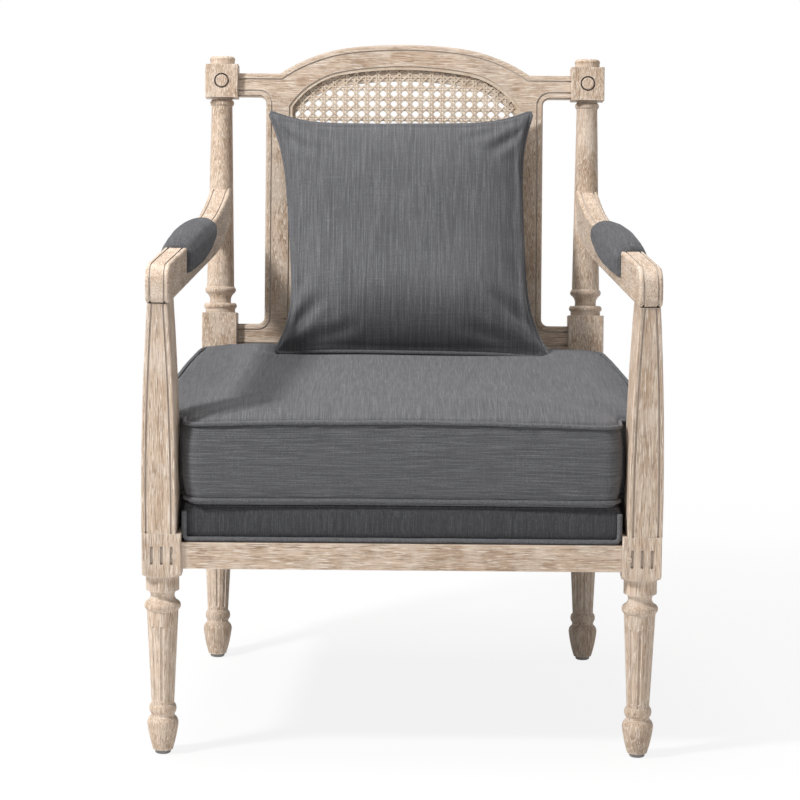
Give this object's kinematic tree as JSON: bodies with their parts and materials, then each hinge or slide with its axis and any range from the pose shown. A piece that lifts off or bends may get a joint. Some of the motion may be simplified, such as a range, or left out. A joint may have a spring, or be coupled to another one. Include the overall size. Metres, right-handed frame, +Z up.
{
  "type": "cane-back armchair",
  "caption": "Open-arm armchair with a limed turned wood frame, arched cane back, upholstered arm pads, sprung deck, loose boxed seat cushion and a loose welted pillow.",
  "frame": {"origin": "on the floor, under the centre of the chair's box", "axes": "+Z up, the chair faces -Y, +X towards the sitter's left"},
  "size_m": [0.6616, 0.7224, 0.8651],
  "materials": {
    "limed_oak": "matte",
    "upholstery_fabric": "matte",
    "cushion_filling": "matte",
    "lining_cloth": "matte",
    "cane": "satin",
    "steel": "satin",
    "clip_plastic": "matte",
    "glide_plastic": "matte"
  },
  "bodies": {
    "frame": {"arm_dowels": "limed_oak", "arm_left": "limed_oak", "arm_pad_cover_left": "upholstery_fabric", "arm_pad_cover_right": "upholstery_fabric", "arm_pad_foam_left": "cushion_filling", "arm_pad_foam_right": "cushion_filling", "arm_right": "limed_oak", "arm_support_left": "limed_oak", "arm_support_right": "limed_oak", "back_bottom_rail": "limed_oak", "back_frame_pegs": "limed_oak", "back_stile_left": "limed_oak", "back_stile_right": "limed_oak", "back_top_rail": "limed_oak", "cane_panel": "cane", "cane_spline": "cane", "corner_block_front_left": "limed_oak", "corner_block_front_right": "limed_oak", "corner_block_rear_left": "limed_oak", "corner_block_rear_right": "limed_oak", "corner_block_screws": "steel", "deck_cover": "upholstery_fabric", "deck_foam": "cushion_filling", "deck_welt": "upholstery_fabric", "dust_cover": "lining_cloth", "foot_glides": "glide_plastic", "front_leg_left": "limed_oak", "front_leg_right": "limed_oak", "front_seat_rail": "limed_oak", "rear_post_left": "limed_oak", "rear_post_right": "limed_oak", "rear_seat_rail": "limed_oak", "rosette_left": "limed_oak", "rosette_right": "limed_oak", "seat_rail_pegs": "limed_oak", "seat_springs": "steel", "side_seat_rail_left": "limed_oak", "side_seat_rail_right": "limed_oak", "spring_clips": "clip_plastic", "spring_sheet": "lining_cloth", "support_dowels": "limed_oak"},
    "seat_cushion": {"seat_cushion_cover": "upholstery_fabric", "seat_cushion_foam": "cushion_filling", "seat_cushion_welt_bottom": "upholstery_fabric", "seat_cushion_welt_top": "upholstery_fabric"},
    "throw_pillow": {"pillow_cover": "upholstery_fabric", "pillow_insert": "cushion_filling", "pillow_welt": "upholstery_fabric"}
  },
  "joints": [
    {"name": "seat_cushion_lift", "type": "slide", "parent": "frame", "child": "seat_cushion", "axis": [0, 0, 1], "range_m": [0, 0.12]},
    {"name": "pillow_lift", "type": "slide", "parent": "seat_cushion", "child": "throw_pillow", "axis": [0, 0, 1], "range_m": [0, 0.4]}
  ]
}
